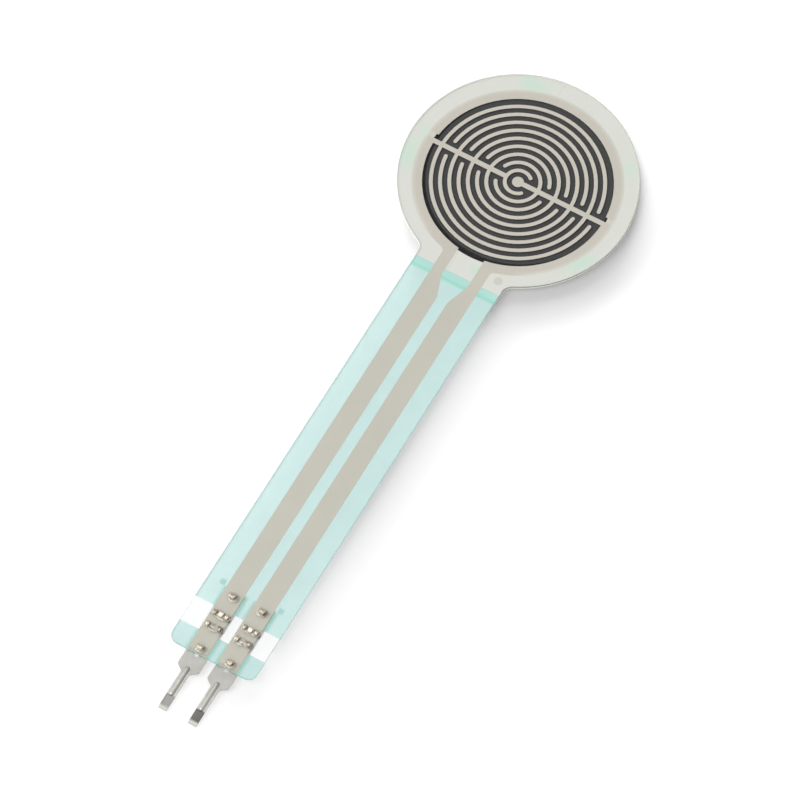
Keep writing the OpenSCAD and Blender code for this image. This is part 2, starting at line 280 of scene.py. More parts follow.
# Milky whiteness of the bonded layers: faint greenish clouds and the fine line of the split liner
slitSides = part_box("release_liner_left")[1][0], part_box("release_liner_right")[0][0]
backingLook = {
    "colour": rgb(206, 207, 200), "patch": rgb(192, 210, 196), "cutEdgeLight": rgb(252, 252, 248),
    "slitX": sum(slitSides) / 2, "slitHalf": 0.02 * mm, "slitSoft": 0.06 * mm, "slitShade": 0.93,
    "grainSize": 0.15 * mm, "cloudSize": 2.2 * mm, "grain": 0.03, "cloud": 0.03,
    # place on the head and radius of each patch, in mm
    "patches": [
        (-2.9, 7.9, 2.0), (-8.5, -2.0, 2.4), (-8.9, 0.4, 1.3),
        (6.9, 5.3, 2.0), (7.4, -4.2, 2.4), (1.0, -8.5, 0.75),
    ],
    "patchCore": 0.2, "patchFrom": 0.42, "patchTo": 0.54,
}
backingGroup, takes, gives = newGroup(
    "milkyBacking",
    [
        ("Place", "NodeSocketVector", None),
        ("Colour", "NodeSocketColor", (0.6, 0.6, 0.6, 1)),
        ("Patch", "NodeSocketColor", (0.6, 0.6, 0.6, 1)),
    ],
    [("Colour", "NodeSocketColor")],
)
patchArea = 0.0
for x, y, size in backingLook["patches"]:
    patch = useGroup(backingGroup, spotGroup, {
        "Place": takes["Place"], "Centre": (x * mm, y * mm, 0),
        "Inner": backingLook["patchCore"] * size * mm, "Outer": size * mm,
    })
    patchArea = calculate(backingGroup, "MAXIMUM", patchArea, patch)
milk = grained(backingGroup, takes["Place"], takes["Colour"], backingLook)
patchShape = remap(
    backingGroup, milk.outputs["Cloud"], 0.0, 1.0, backingLook["patchFrom"], backingLook["patchTo"],
)
patchShare = calculate(backingGroup, "MULTIPLY", patchArea, patchShape)
patched = blend(backingGroup, patchShare, milk.outputs["Colour"], takes["Patch"])
backingPlace = place(backingGroup, "ShaderNodeSeparateXYZ", {0: takes["Place"]})
slit = useGroup(backingGroup, bandGroup, {
    "Value": backingPlace.outputs["X"], "Middle": backingLook["slitX"],
    "Half": backingLook["slitHalf"], "Soft": backingLook["slitSoft"],
})
slitShade = remap(backingGroup, slit, 1.0, backingLook["slitShade"])
plug(backingGroup, gives, {"Colour": scaled(backingGroup, patched, slitShade)})


def milkyLayers(tree, where):
    return useGroup(tree, backingGroup, {
        "Place": where["Object"], "Colour": backingLook["colour"], "Patch": backingLook["patch"],
    })


def palerSides(tree, where, colour):
    # painted light: the cut edges of the bonded layers are painted paler, for the light they catch
    # from inside the sheets
    sheet = useGroup(tree, sheetGroup, {"Normal": where["Normal"]})
    return blend(tree, sheet.outputs["Side"], colour, backingLook["cutEdgeLight"])


print("shared effects made")

# Silver ink; the dot and the ring's outer edge look pale through the milky layers
silverLook = {
    "head": rgb(190, 185, 174), "tail": rgb(185, 183, 171),
    "tailFrom": -8 * mm, "tailTo": -12 * mm,
    "edge": rgb(203, 202, 193), "edgeWidth": 0.35 * mm, "edgeFade": 0.1 * mm,
    "edgeFrom": -7.6 * mm, "edgeTo": -7.0 * mm,
    "dotCore": 0.6 * mm, "dotRadius": 0.7 * mm, "dotPale": 0.6,
    "grainSize": 0.09 * mm, "cloudSize": 5 * mm, "grain": 0.10, "cloud": 0.05,
    "metal": 0.15, "roughness": 0.5, "bump": 0.35, "bumpDepth": 0.01 * mm,
}
ringX, ringRadius = middleOf("upper_ring_print", 0), halfOf("upper_ring_print", 0)
ringLow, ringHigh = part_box("upper_ring_print")
ringY = ringHigh[1] - ringRadius
silver, tree, shader, where = newMaterial("silverPrint")
axes = axesOf(tree, where)
onTail = remap(tree, axes["Y"], 0.0, 1.0, silverLook["tailFrom"], silverLook["tailTo"])
onRing = remap(tree, axes["Y"], 0.0, 1.0, silverLook["edgeFrom"], silverLook["edgeTo"])
inRing = useGroup(tree, spotGroup, {
    "Place": where["Object"], "Centre": (ringX, ringY, 0),
    "Inner": ringRadius - silverLook["edgeWidth"], "Outer": ringRadius + silverLook["edgeFade"],
})
onDot = useGroup(tree, spotGroup, {
    "Place": where["Object"], "Inner": silverLook["dotCore"], "Outer": silverLook["dotRadius"],
    "Centre": (middleOf("registration_dot", 0), middleOf("registration_dot", 1), 0),
})
paleRing = calculate(tree, "MULTIPLY", calculate(tree, "SUBTRACT", 1.0, inRing), onRing)
paleDot = calculate(tree, "MULTIPLY", onDot, silverLook["dotPale"])
pale = calculate(tree, "MAXIMUM", paleRing, paleDot)
silverColour = blend(tree, onTail, silverLook["head"], silverLook["tail"])
silverColour = blend(tree, pale, silverColour, silverLook["edge"])
ink = grained(tree, where["Object"], silverColour, silverLook)
plug(tree, shader, {
    "Base Color": ink, "Metallic": silverLook["metal"], "Roughness": silverLook["roughness"],
})
roughen(tree, shader, ink.outputs["Height"], silverLook)
paint(silver, "left_electrode", "right_electrode", "upper_ring_print", "registration_dot")
print("silver prints done")

# Carbon ink, black where the adhesive wets it; across the air gap its dark grey is partly the ink
# and partly a painted reflection of the film's underside
carbonLook = {
    "dryWithReflection": rgb(59, 59, 60), "wet": rgb(11, 11, 12), "wetWidth": 0.26 * mm, "wetFade": 0.03 * mm,
    "dryShiftX": 0.08 * mm, "dryShiftY": 0.22 * mm,
    "grainSize": 0.07 * mm, "cloudSize": 3 * mm, "grain": 0.2, "cloud": 0.08,
    "roughness": 0.7, "specular": 0.15, "bump": 0.4, "bumpDepth": 0.01 * mm,
}
carbonX, carbonY = middleOf("carbon_disc", 0), middleOf("carbon_disc", 1)
carbonRadius = halfOf("carbon_disc", 0)
dryRadius = carbonRadius - carbonLook["wetWidth"]
carbon, tree, shader, where = newMaterial("carbonPrint")
isDry = useGroup(tree, spotGroup, {
    "Place": where["Object"],
    "Centre": (carbonX + carbonLook["dryShiftX"], carbonY + carbonLook["dryShiftY"], 0),
    "Inner": dryRadius - carbonLook["wetFade"], "Outer": dryRadius + carbonLook["wetFade"],
})
# the dry zone's grey carries a painted reflection of the film's underside over the air gap
carbonColour = blend(tree, isDry, carbonLook["wet"], carbonLook["dryWithReflection"])
ink = grained(tree, where["Object"], carbonColour, carbonLook)
plug(tree, shader, {
    "Base Color": ink, "Roughness": carbonLook["roughness"],
    "Specular IOR Level": carbonLook["specular"],
})
roughen(tree, shader, ink.outputs["Height"], carbonLook)
paint(carbon, "carbon_disc")
print("carbon disc done")

# Lines on the tail that its materials follow: the plates, the clear window, the edges, the neck
leftX, rightX = middleOf("left_terminal", 0), middleOf("right_terminal", 0)
plateLines = {
    "middle": (leftX + rightX) / 2, "apart": (rightX - leftX) / 2,
    "half": halfOf("left_terminal", 0), "top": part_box("left_terminal")[1][1],
}
tailLines = {
    "half": halfOf("dielectric_coat", 0), "windowFrom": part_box("dielectric_coat")[0][1],
    "windowTo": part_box("end_dielectric_strip")[1][1],
    "neckFrom": stackEnd - 0.2 * mm, "neckTo": stackEnd + 0.3 * mm, "farOff": 10 * mm,
}


def offPlateLine(tree, axes):
    # distance from the nearer plate's centre line
    offMiddle = calculate(tree, "SUBTRACT", axes["X"], plateLines["middle"])
    offMiddle = calculate(tree, "ABSOLUTE", offMiddle)
    offLine = calculate(tree, "SUBTRACT", offMiddle, plateLines["apart"])
    return calculate(tree, "ABSOLUTE", offLine)


def atNeck(tree, axes, onTail, onHead):
    # changes from the tail's value to the head's where the layers' stack begins
    return remap(tree, axes["Y"], onTail, onHead, tailLines["neckFrom"], tailLines["neckTo"])


def offTailEdge(tree, axes):
    # distance inward from the tail's long edges and its end, and far off all over the head
    fromMiddle = calculate(tree, "ABSOLUTE", axes["X"])
    offSide = calculate(tree, "SUBTRACT", tailLines["half"], fromMiddle)
    offEnd = calculate(tree, "SUBTRACT", axes["Y"], tailEnd)
    nearest = calculate(tree, "MINIMUM", offSide, offEnd)
    return calculate(tree, "MAXIMUM", nearest, atNeck(tree, axes, 0.0, tailLines["farOff"]))


# Clear top film; in the window beside the plates it is painted near-white and nearly opaque to the
# camera, a painted stand-in for the lit table seen through it; the head's far edge has a darker
# line of painted shade
filmLook = {
    "face": rgb(228, 232, 226), "faceAlpha": 0.012,
    "slantAlpha": 0.36, "slantFrom": 0.35, "slantBlend": 0.2,
    "paintedLitWindow": rgb(236, 238, 238), "bareAlpha": 0.88, "bareSoft": 0.03 * mm, "plateSoft": 0.05 * mm,
    "edge": rgb(138, 184, 175), "edgeAlpha": 0.55, "edgeWidth": 0.07 * mm,
    "side": rgb(150, 195, 186), "headSide": rgb(232, 235, 229), "sideAlpha": 0.5,
    "headLine": rgb(172, 166, 152), "headLineAlpha": 0.75,
    "headLineWidth": 0.12 * mm, "headLineRim": 0.02 * mm, "farFrom": -3 * mm, "farTo": 1 * mm,
    "grainSize": 0.12 * mm, "cloudSize": 6 * mm, "grain": 0.03, "cloud": 0.04,
    "roughness": 0.25,
}
film, tree, shader, where = newMaterial("electrodeFilm")
axes = axesOf(tree, where)
slant = place(tree, "ShaderNodeLayerWeight", {"Blend": filmLook["slantBlend"]})
faceAlpha = remap(
    tree, slant.outputs["Facing"], filmLook["faceAlpha"], filmLook["slantAlpha"],
    filmLook["slantFrom"], 1.0,
)
window = useGroup(tree, bandGroup, {
    "Value": axes["Y"], "Middle": (tailLines["windowFrom"] + tailLines["windowTo"]) / 2,
    "Half": (tailLines["windowFrom"] - tailLines["windowTo"]) / 2, "Soft": filmLook["bareSoft"],
})
besidePlate = remap(
    tree, offPlateLine(tree, axes), 0.0, 1.0,
    plateLines["half"], plateLines["half"] + filmLook["plateSoft"],
)
# painted light: the window beside the plates is painted near-white, standing in for the lit table
# below the clear film
paintedLitWindow = calculate(tree, "MULTIPLY", window, besidePlate)
# painted shade: a darker teal band along the tail's cut edges and its end
nearEdge = remap(tree, offTailEdge(tree, axes), 1.0, 0.0, 0.0, filmLook["edgeWidth"])
# painted shade: a darker line along the head's far edge
insideHead = useGroup(tree, spotGroup, {
    "Place": where["Object"], "Inner": filmHigh[0] - filmLook["headLineWidth"],
    "Outer": filmHigh[0] - filmLook["headLineRim"],
})
farSide = remap(tree, axes["Y"], 0.0, 1.0, filmLook["farFrom"], filmLook["farTo"])
headLine = calculate(tree, "MULTIPLY", calculate(tree, "SUBTRACT", 1.0, insideHead), farSide)
seenAlpha = blendValues(tree, paintedLitWindow, faceAlpha, filmLook["bareAlpha"])
seenAlpha = blendValues(tree, nearEdge, seenAlpha, filmLook["edgeAlpha"])
seenAlpha = blendValues(tree, headLine, seenAlpha, filmLook["headLineAlpha"])
sheet = useGroup(tree, sheetGroup, {
    "Normal": where["Normal"], "From Inside": fromInside(tree),
    "Side Alpha": filmLook["sideAlpha"],
    "Top Alpha": lettingLightPass(tree, seenAlpha, faceAlpha),
})
# the window's near-white colour is painted light of the table below
filmFace = blend(tree, paintedLitWindow, filmLook["face"], filmLook["paintedLitWindow"])
haze = grained(tree, where["Object"], filmFace, filmLook)
filmColour = blend(tree, nearEdge, haze.outputs["Colour"], filmLook["edge"])
filmColour = blend(tree, headLine, filmColour, filmLook["headLine"])
onHead = atNeck(tree, axes, 0.0, 1.0)
# painted on the cut walls: darker teal on the tail as shade, pale on the head as light that they
# catch
sideColour = blend(tree, onHead, filmLook["side"], filmLook["headSide"])
plug(tree, shader, {
    "Base Color": blend(tree, sheet.outputs["Side"], filmColour, sideColour),
    "Alpha": sheet.outputs["Alpha"], "Roughness": filmLook["roughness"],
})
paint(film, "electrode_film")
print("electrode film done")

# Adhesive ring between the films, clear over the carbon
spacerLook = {
    "side": rgb(215, 218, 208), "sideAlpha": 0.35, "openingAlpha": 0.04,
    "overCarbonAlpha": 0.0, "carbonFade": 0.02 * mm,
    "gapTint": rgb(196, 192, 182), "gapHeight": 0.42 * mm, "gapInset": 0.36 * mm,
    "gapInner": 0.15 * mm, "gapOuter": 0.44 * mm, "roughness": 0.4,
}
spacer, tree, shader, where = newMaterial("spacerAdhesive")
overCarbon = useGroup(tree, spotGroup, {
    "Place": where["Object"], "Centre": (carbonX, carbonY, 0),
    "Inner": carbonRadius - spacerLook["carbonFade"],
    "Outer": carbonRadius + spacerLook["carbonFade"],
})
sheet = useGroup(tree, sheetGroup, {
    "Normal": where["Normal"], "From Inside": fromInside(tree),
    "Side Alpha": remap(tree, overCarbon, spacerLook["sideAlpha"], spacerLook["openingAlpha"]),
    "Top Alpha": remap(tree, overCarbon, 1.0, spacerLook["overCarbonAlpha"]),
})
spacerColour = milkyLayers(tree, where).outputs["Colour"]
gapY = ringLow[1] - spacerLook["gapHeight"] / 2
for side in (-1, 1):
    # silver ink spread thin into the outer part of the ring's side gaps
    gapX = ringX + side * (ringRadius - spacerLook["gapInset"])
    tint = useGroup(tree, spotGroup, {
        "Place": where["Object"], "Centre": (gapX, gapY, 0),
        "Inner": spacerLook["gapInner"], "Outer": spacerLook["gapOuter"],
    })
    spacerColour = blend(tree, tint, spacerColour, spacerLook["gapTint"])
# painted light: the spacer's cut walls are painted pale
plug(tree, shader, {
    "Base Color": blend(tree, sheet.outputs["Side"], spacerColour, spacerLook["side"]),
    "Alpha": sheet.outputs["Alpha"], "Roughness": spacerLook["roughness"],
})
paint(spacer, "spacer_adhesive")
print("spacer adhesive done")

# Rear film, milky as its backing shows through it
rearLook = {"roughness": 0.4}
rear, tree, shader, where = newMaterial("semiconductorFilm")
rearColour = milkyLayers(tree, where).outputs["Colour"]
plug(tree, shader, {
    "Base Color": palerSides(tree, where, rearColour), "Roughness": rearLook["roughness"],
})
paint(rear, "semiconductor_film")
print("semiconductor film done")

# Adhesive and split liner underneath
glueLook = {
    "colour": rgb(214, 216, 202), "roughness": 0.35,
    "grainSize": 0.2 * mm, "cloudSize": 3 * mm, "grain": 0.05, "cloud": 0.05,
}
glue, tree, shader, where = newMaterial("rearAdhesive")
haze = grained(tree, where["Object"], glueLook["colour"], glueLook)
plug(tree, shader, {
    "Base Color": palerSides(tree, where, haze.outputs["Colour"]),
    "Roughness": glueLook["roughness"],
})
paint(glue, "rear_adhesive")

linerLook = {
    "colour": rgb(228, 228, 218), "roughness": 0.6, "bump": 0.3, "bumpDepth": 0.02 * mm,
    "grainSize": 0.25 * mm, "cloudSize": 2 * mm, "grain": 0.06, "cloud": 0.04,
}
liner, tree, shader, where = newMaterial("releaseLiner")
paper = grained(tree, where["Object"], linerLook["colour"], linerLook)
plug(tree, shader, {
    "Base Color": palerSides(tree, where, paper.outputs["Colour"]),
    "Roughness": linerLook["roughness"],
})
roughen(tree, shader, paper.outputs["Height"], linerLook)
paint(liner, "release_liner_left", "release_liner_right")
print("rear adhesive and liner done")

# Green dielectric, darker where it bonds to the head's layers and over the marks, with painted
# shade in a line past the head's layers, beside the plates and along the film's edges; over the
# plates it takes the colour of what lies under it
coatLook = {
    "face": (0.50, 0.70, 0.68, 1), "faceAlpha": 0.86, "stripFace": (0.455, 0.66, 0.645, 1),
    "side": rgb(115, 190, 178), "sideAlpha": 0.55,
    "shadeAlpha": 0.62, "endShadeAlpha": 0.27, "shadeFrom": -28 * mm, "shadeTo": -44 * mm,
    "overStack": (0.41, 0.71, 0.645, 1), "stackEndShade": (0.30, 0.67, 0.56, 1),
    "spill": 0.24 * mm, "spillFade": 0.05 * mm,
    "stackEndShadeOff": 0.12 * mm, "stackEndShadeHalf": 0.05 * mm, "stackEndShadeSoft": 0.2 * mm,
    "overPlate": (0.37, 0.43, 0.33, 1), "plateAlpha": 0.6,
    "endOverPlate": (0.45, 0.44, 0.355, 1), "endPlateAlpha": 0.9,
    "plateInset": 0.14 * mm, "plateRim": 0.08 * mm, "topInset": 0.1 * mm, "topReach": 0.2 * mm,
    "dark": (0.30, 0.56, 0.51, 1), "darkAlpha": 0.88,
    "besideFrom": 0.06 * mm, "besideTo": 0.28 * mm, "edgeWidth": 0.07 * mm, "edgeShare": 0.6,
    "markHalf": 0.21 * mm, "markSoft": 0.04 * mm, "markShare": 0.5,
    "grainSize": 0.11 * mm, "cloudSize": 1.6 * mm, "grain": 0.1, "cloud": 0.06,
    "roughness": 0.4,
}
coat, tree, shader, where = newMaterial("dielectricPrint")
axes = axesOf(tree, where)
bondEnd = stackEnd - coatLook["spill"]
bonded = remap(
    tree, axes["Y"], 0.0, 1.0, bondEnd - coatLook["spillFade"], bondEnd + coatLook["spillFade"],
)
# painted shade: a darker line just past the end of the head's layers, where the coat steps down
stackEndShade = useGroup(tree, bandGroup, {
    "Value": axes["Y"], "Middle": bondEnd + coatLook["stackEndShadeOff"],
    "Half": coatLook["stackEndShadeHalf"], "Soft": coatLook["stackEndShadeSoft"],
})
offPlate = offPlateLine(tree, axes)
alongPlate = remap(
    tree, axes["Y"], 1.0, 0.0,
    plateLines["top"] - coatLook["topInset"], plateLines["top"] + coatLook["topReach"],
)
overPlate = remap(
    tree, offPlate, 1.0, 0.0,
    plateLines["half"] - coatLook["plateInset"], plateLines["half"] - coatLook["plateRim"],
)
overPlate = calculate(tree, "MULTIPLY", overPlate, alongPlate)
# painted shade: a darker band just outside each plate's edge
beside = remap(
    tree, offPlate, 1.0, 0.0,
    plateLines["half"] + coatLook["besideFrom"], plateLines["half"] + coatLook["besideTo"],
)
beside = calculate(tree, "MULTIPLY", beside, alongPlate)
# painted shade: a darker band along the tail's cut edges and its end
nearEdge = remap(
    tree, offTailEdge(tree, axes), coatLook["edgeShare"], 0.0, 0.0, coatLook["edgeWidth"],
)
offMark = calculate(tree, "SUBTRACT", axes["X"], middleOf("location_marks", 0))
offMark = calculate(tree, "ABSOLUTE", offMark)
markApart, markY = halfOf("location_marks", 0), middleOf("location_marks", 1)
onMark = coatLook["markShare"]
for value, middle in ((offMark, markApart - coatLook["markHalf"]), (axes["Y"], markY)):
    markBand = useGroup(tree, bandGroup, {
        "Value": value, "Middle": middle, "Half": coatLook["markHalf"],
        "Soft": coatLook["markSoft"],
    })
    onMark = calculate(tree, "MULTIPLY", onMark, markBand)
# painted shade beside the plates and along the edges; over the marks, their print seen through the
# coat
darker = calculate(tree, "MAXIMUM", calculate(tree, "MAXIMUM", beside, nearEdge), onMark)
onStrip = remap(tree, axes["Y"], 1.0, 0.0, tailLines["windowTo"], tailLines["windowFrom"])
plateAlpha = blendValues(tree, onStrip, coatLook["plateAlpha"], coatLook["endPlateAlpha"])
topAlpha = blendValues(tree, darker, coatLook["faceAlpha"], coatLook["darkAlpha"])
topAlpha = blendValues(tree, overPlate, topAlpha, plateAlpha)
coatShade = remap(
    tree, axes["Y"], coatLook["shadeAlpha"], coatLook["endShadeAlpha"],
    coatLook["shadeFrom"], coatLook["shadeTo"],
)
sheet = useGroup(tree, sheetGroup, {
    "Normal": where["Normal"], "From Inside": fromInside(tree),
    "Side Alpha": coatLook["sideAlpha"],
    "Top Alpha": lettingLightPass(tree, topAlpha, coatShade),
})
plateColour = blend(tree, onStrip, coatLook["overPlate"], coatLook["endOverPlate"])
coatColour = blend(tree, onStrip, coatLook["face"], coatLook["stripFace"])
coatColour = blend(tree, bonded, coatColour, coatLook["overStack"])
coatColour = blend(tree, stackEndShade, coatColour, coatLook["stackEndShade"])
coatColour = blend(tree, darker, coatColour, coatLook["dark"])
coatColour = blend(tree, overPlate, coatColour, plateColour)
ink = grained(tree, where["Object"], coatColour, coatLook)
# the coat's cut walls are painted a darker teal as shade
plug(tree, shader, {
    "Base Color": blend(tree, sheet.outputs["Side"], ink.outputs["Colour"], coatLook["side"]),
    "Alpha": sheet.outputs["Alpha"], "Roughness": coatLook["roughness"],
})
paint(coat, "dielectric_coat", "end_dielectric_strip")
print("dielectric coat done")

# Location marks
markLook = {
    "colour": rgb(60, 140, 128), "roughness": 0.5,
    "grainSize": 0.1 * mm, "cloudSize": 1 * mm, "grain": 0.1, "cloud": 0.05,
}
mark, tree, shader, where = newMaterial("markPrint")
ink = grained(tree, where["Object"], markLook["colour"], markLook)
plug(tree, shader, {"Base Color": ink, "Roughness": markLook["roughness"]})
paint(mark, "location_marks")
print("location marks done")

# Tinned terminals: warmer on the curled tines; painted dark reflection on the flat tips of the
# pins, painted shade on their end bevels, painted light along the pins
tinLook = {
    "plate": (0.54, 0.535, 0.50, 1), "tine": (0.61, 0.535, 0.44, 1), "tineFade": 0.03 * mm,
    "duller": 0.46, "shinier": 0.28, "dullFrom": 0.3, "dullTo": 0.7,
    "tineRoughness": 0.3, "tineMetal": 0.6,
    "tipMiddle": pinEnd + 0.785 * mm, "tipHalf": 0.42 * mm, "tipSoft": 0.12 * mm,
    "leftTip": 0.52, "rightTip": 0.26, "rightFrom": 0.3 * mm,
    "pinFrom": pinEnd + 3.3 * mm, "pinFade": 0.2 * mm, "pinBright": 1.15,
    "bevelFrom": pinEnd + 0.305 * mm, "bevelFade": 0.06 * mm, "bevelShade": 0.5,
    # off the plate's centre line, distance from the tail's end and radius in mm, brightness
    "tineShades": [
        (0.0, 5.25, 0.40, 0.8), (0.0, 3.55, 0.26, 1.7),
        (-0.5, 3.55, 0.22, 0.7), (0.5, 2.45, 0.26, 0.62),
    ],
    "tineCore": 0.8,
    "plateGrain": {"grainSize": 0.06 * mm, "cloudSize": 0.9 * mm, "grain": 0.08, "cloud": 0.12},
    "tineDents": {"grainSize": 0.16 * mm, "cloudSize": 0.3 * mm, "grain": 0.5, "cloud": 0.5},
    # the heights are in metres already
    "plateDepth": 0.003 * mm, "dentDepth": 0.06 * mm, "bump": 1.0, "bumpDepth": 1.0,
}
tin, tree, shader, where = newMaterial("tinPlate")
axes = axesOf(tree, where)
onTine = remap(
    tree, axes["Z"], 0.0, 1.0, filmTop - tinLook["tineFade"], filmTop + tinLook["tineFade"],
)
onTip = useGroup(tree, bandGroup, {
    "Value": axes["Y"], "Middle": tinLook["tipMiddle"], "Half": tinLook["tipHalf"],
    "Soft": tinLook["tipSoft"],
})
# painted reflection: the flat tips are darkened, the right one more, as the dark surroundings they
# reflect
tipShade = remap(
    tree, axes["X"], tinLook["leftTip"], tinLook["rightTip"], 0.0, tinLook["rightFrom"],
)
paintedShading = blendValues(tree, onTip, 1.0, tipShade)
# painted shade: the bevels at the pins' ends are darkened
bevel = remap(
    tree, axes["Y"], 1.0, tinLook["bevelShade"],
    tinLook["bevelFrom"], tinLook["bevelFrom"] - tinLook["bevelFade"],
)
# painted light: the pins are brightened from the shoulders to their ends
onPin = remap(
    tree, axes["Y"], 1.0, tinLook["pinBright"],
    tinLook["pinFrom"] + tinLook["pinFade"], tinLook["pinFrom"] - tinLook["pinFade"],
)
paintedShading = calculate(tree, "MULTIPLY", calculate(tree, "MULTIPLY", paintedShading, bevel), onPin)
dented = grained(tree, where["Object"], tinLook["tine"], tinLook["tineDents"])
tineColour = dented.outputs["Colour"]
for offLine, fromEnd, size, brightness in tinLook["tineShades"]:
    # some tines catch the light and some turn away from it
    for plateX in (leftX, rightX):
        near = useGroup(tree, spotGroup, {
            "Place": where["Object"], "Inner": tinLook["tineCore"] * size * mm,
            "Outer": size * mm,
            "Centre": (plateX + offLine * mm, tailEnd + fromEnd * mm, 0),
        })
        tineColour = scaled(tree, tineColour, remap(tree, near, 1.0, brightness))
tinColour = scaled(tree, blend(tree, onTine, tinLook["plate"], tineColour), paintedShading)
plate = grained(tree, where["Object"], tinColour, tinLook["plateGrain"])
dull = remap(
    tree, plate.outputs["Cloud"], tinLook["shinier"], tinLook["duller"],
    tinLook["dullFrom"], tinLook["dullTo"],
)
plug(tree, shader, {
    "Base Color": plate, "Metallic": remap(tree, onTine, 1.0, tinLook["tineMetal"]),
    "Roughness": blendValues(tree, onTine, dull, tinLook["tineRoughness"]),
})
dents = calculate(tree, "MULTIPLY", dented.outputs["Height"], onTine)
dents = calculate(tree, "MULTIPLY", dents, tinLook["dentDepth"])
surface = calculate(
    tree, "MULTIPLY_ADD", plate.outputs["Height"], tinLook["plateDepth"], dents,
)
roughen(tree, shader, surface, tinLook)
paint(tin, "left_terminal", "right_terminal")
print("terminals done")

# Lips: the film that the tines push up and press down again where they pierce it
lipLook = {
    # distance from the tail's end and half width in mm, share of the rise, lean to one side
    "rows": [
        (5.42, 0.30, 1.0, 0.0), (3.70, 0.64, 1.0, 0.2),
        (2.62, 0.62, 0.6, 0.3), (0.66, 0.26, 1.0, 0.0),
    ],
    "curlBack": 0.17 * mm, "depth": 0.2 * mm, "spread": 0.2 * mm, "rise": 0.06 * mm,
    "middle": 0.10 * mm, "sunk": 0.01 * mm, "squareness": 3, "crestAt": 0.5,
    "around": 56, "rings": 14,
    "uneven": 0.9, "patch": 0.35 * mm, "patchLayer": 0.5,
    "creaseSize": 0.2 * mm, "creaseLayer": 3.5, "creaseLevel": 0.25, "creaseSwing": 2.6,
    "creaseShare": 0.9, "creaseAt": 0.45, "creaseReach": 0.35, "middleShade": 0.5,
    "colour": rgb(180, 176, 164), "creaseShade": rgb(104, 90, 72), "light": rgb(212, 206, 190),
    "lightShare": 0.7, "lightFrom": 0.47, "lightTo": 0.36,
    "grainSize": 0.06 * mm, "cloudSize": 0.13 * mm, "grain": 0.2, "cloud": 0.1,
    "fadeFrom": 0.002 * mm, "fadeTo": 0.03 * mm, "shadeAlpha": 0.0,
    "roughness": 0.45, "metal": 0.1, "gloss": 0.6, "glossRoughness": 0.15,
    "bump": 0.5, "bumpDepth": 0.04 * mm,
}
lip, tree, shader, where = newMaterial("liftedFilm")
axes = axesOf(tree, where)
creased = grained(tree, where["Object"], lipLook["colour"], lipLook)
creaseShade = place(tree, "ShaderNodeAttribute", attribute_name="creaseShade")
# painted highlights: pale spots on the lips
lightSpots = remap(
    tree, creased.outputs["Cloud"], lipLook["lightShare"], 0.0,
    lipLook["lightTo"], lipLook["lightFrom"],
)
lipColour = blend(tree, lightSpots, creased.outputs["Colour"], lipLook["light"])
# painted shade: dark spots around each lip's crest and in its middle
lipColour = blend(tree, creaseShade.outputs["Fac"], lipColour, lipLook["creaseShade"])
fade = remap(
    tree, axes["Z"], 0.0, 1.0, filmTop + lipLook["fadeFrom"], filmTop + lipLook["fadeTo"],
)
plug(tree, shader, {
    "Base Color": lipColour, "Alpha": lettingLightPass(tree, fade, lipLook["shadeAlpha"]),
    "Metallic": lipLook["metal"], "Roughness": lipLook["roughness"],
    "Coat Weight": lipLook["gloss"], "Coat Roughness": lipLook["glossRoughness"],
})
roughen(tree, shader, creased.outputs["Cloud"], lipLook)


def smooth(share):
    share = min(max(share, 0.0), 1.0)
    return share * share * (3 - 2 * share)


def unevenness(x, y, size, layer):
    return noise.noise(Vector((x / size, y / size, layer)))


def collarRadius(angle, halfWidth):
    # a rounded box seen from above: half width across, depth along
    power = lipLook["squareness"]
    across, along = abs(cos(angle) / halfWidth), abs(sin(angle) / lipLook["depth"])
    return (across ** power + along ** power) ** (-1 / power)


# painted shade: dark spots in a ring near the crest, broken up by noise
def creaseShadeThere(x, y, share):
    spots = unevenness(x, y, lipLook["creaseSize"], lipLook["creaseLayer"])
    spots = smooth(lipLook["creaseLevel"] + lipLook["creaseSwing"] * spots)
    offCrease = abs(share - lipLook["creaseAt"]) / lipLook["creaseReach"]
    return lipLook["creaseShare"] * spots * smooth(1 - offCrease)


def addLip(points, creaseShades, faces, centre, halfWidth, rise, lean):
    # a low uneven collar: rings from the middle out over a crest down to the film, closed below
    around, ringCount, crestAt = lipLook["around"], lipLook["rings"], lipLook["crestAt"]
    middle, sunk = lipLook["middle"], filmTop - lipLook["sunk"]
    first = len(points)
    points.append((centre[0], centre[1], filmTop + middle))
    creaseShades.append(lipLook["middleShade"])
    for ring in range(1, ringCount + 1):
        share = ring / ringCount
        for step in range(around):
            angle = 2 * pi * step / around
            inner = collarRadius(angle, halfWidth)
            rimX, rimY = centre[0] + inner * cos(angle), centre[1] + inner * sin(angle)
            patch = unevenness(rimX, rimY, lipLook["patch"], lipLook["patchLayer"])
            wave = 1 + lipLook["uneven"] * patch
            crest = rise * wave * (1 - lean * cos(angle))
            if share <= crestAt:
                reach = inner * share / crestAt
                height = middle + (crest - middle) * smooth(share / crestAt)
            else:
                pastCrest = (share - crestAt) / (1 - crestAt)
                reach = inner + lipLook["spread"] * wave * pastCrest
                height = crest * (1 - smooth(pastCrest))
            x, y = centre[0] + reach * cos(angle), centre[1] + reach * sin(angle)
            points.append((x, y, filmTop + height))
            creaseShades.append(creaseShadeThere(x, y, share))
    last = len(points) - around
    points.extend([(point[0], point[1], sunk) for point in points[last:]])
    points.append((centre[0], centre[1], sunk))
    creaseShades.extend([0.0] * (around + 1))
    for step in range(around):
        after = (step + 1) % around
        faces.append((first, first + 1 + step, first + 1 + after))
        for ring in range(ringCount):
            low, high = first + 1 + ring * around, first + 1 + (ring + 1) * around
            faces.append((low + step, high + step, high + after, low + after))
        base = first + 1 + ringCount * around
        faces.append((base + after, base + step, len(points) - 1))


